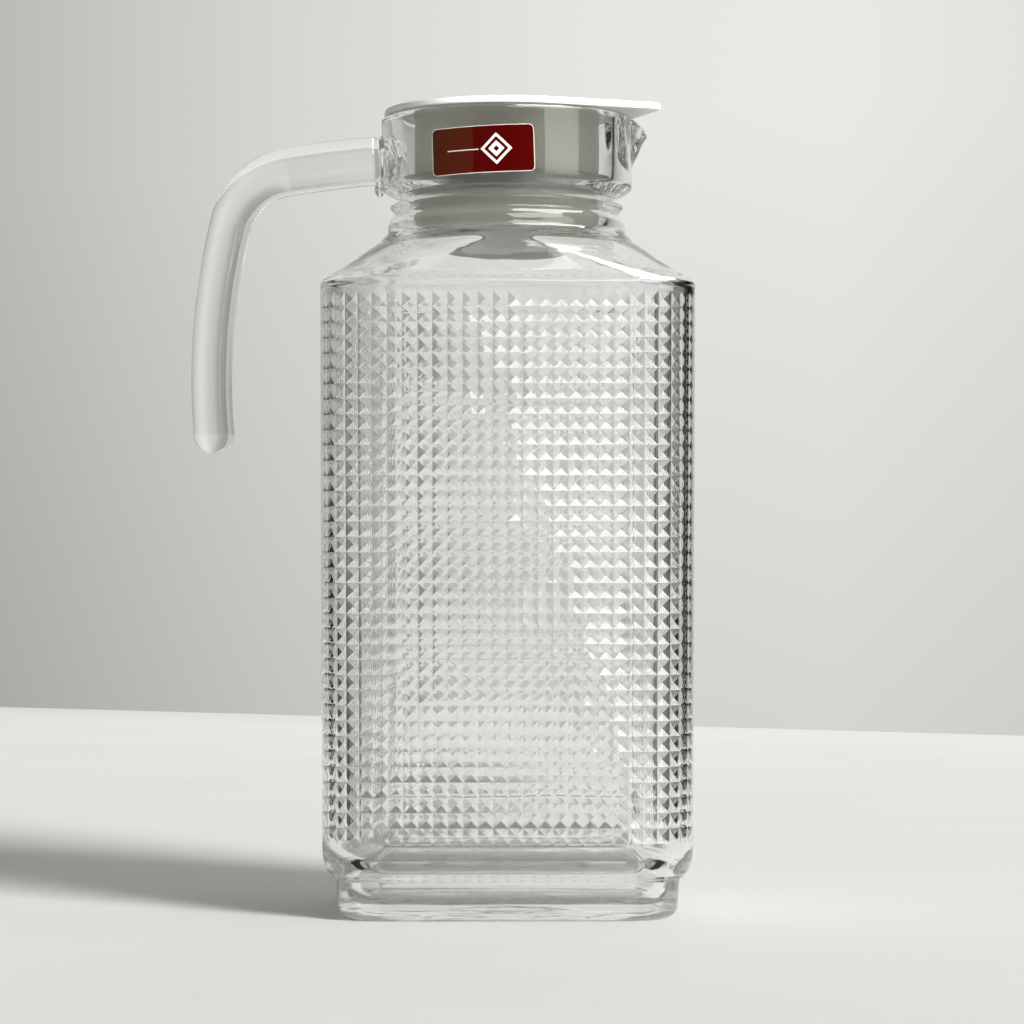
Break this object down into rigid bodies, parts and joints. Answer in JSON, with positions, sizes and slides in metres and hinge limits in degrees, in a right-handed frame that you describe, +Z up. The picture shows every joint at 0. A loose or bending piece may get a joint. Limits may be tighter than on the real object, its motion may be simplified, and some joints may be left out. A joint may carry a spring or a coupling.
{
  "type": "water jug",
  "caption": "Square glass water jug with dimpled walls, round collar with a pouring beak, open-ended glass handle and a lift-off plastic lid with a pointed tab.",
  "frame": {"origin": "on the table plane, under the centre of the whole jug's bounding box", "axes": "+Z up along the jug's upright axis, +X towards the pouring beak, -X towards the handle, -Y towards the label"},
  "size_m": [0.1506, 0.11, 0.242],
  "materials": {
    "body_glass": "clear pressed glass, dimpled walls",
    "handle_glass": "clear fire-polished glass",
    "lid_plastic": "white moulded plastic, satin",
    "seal_rubber": "pale soft rubber",
    "label_film": "dark red glossy film with a pale border"
  },
  "bodies": {
    "jug": {"glass_body": "body_glass", "glass_handle": "handle_glass", "label": "label_film"},
    "seal": {"lid_seal": "seal_rubber"},
    "lid": {"lid": "lid_plastic"}
  },
  "joints": [
    {"name": "lid_lift", "type": "slide", "parent": "jug", "child": "seal", "axis": [0, 0, 1], "range_m": [0, 0.06]},
    {"name": "lid_turn", "type": "hinge", "parent": "seal", "child": "lid", "pos_m": [0.02031, 0, 0.2399], "axis": [0, 0, 1], "continuous": true}
  ]
}
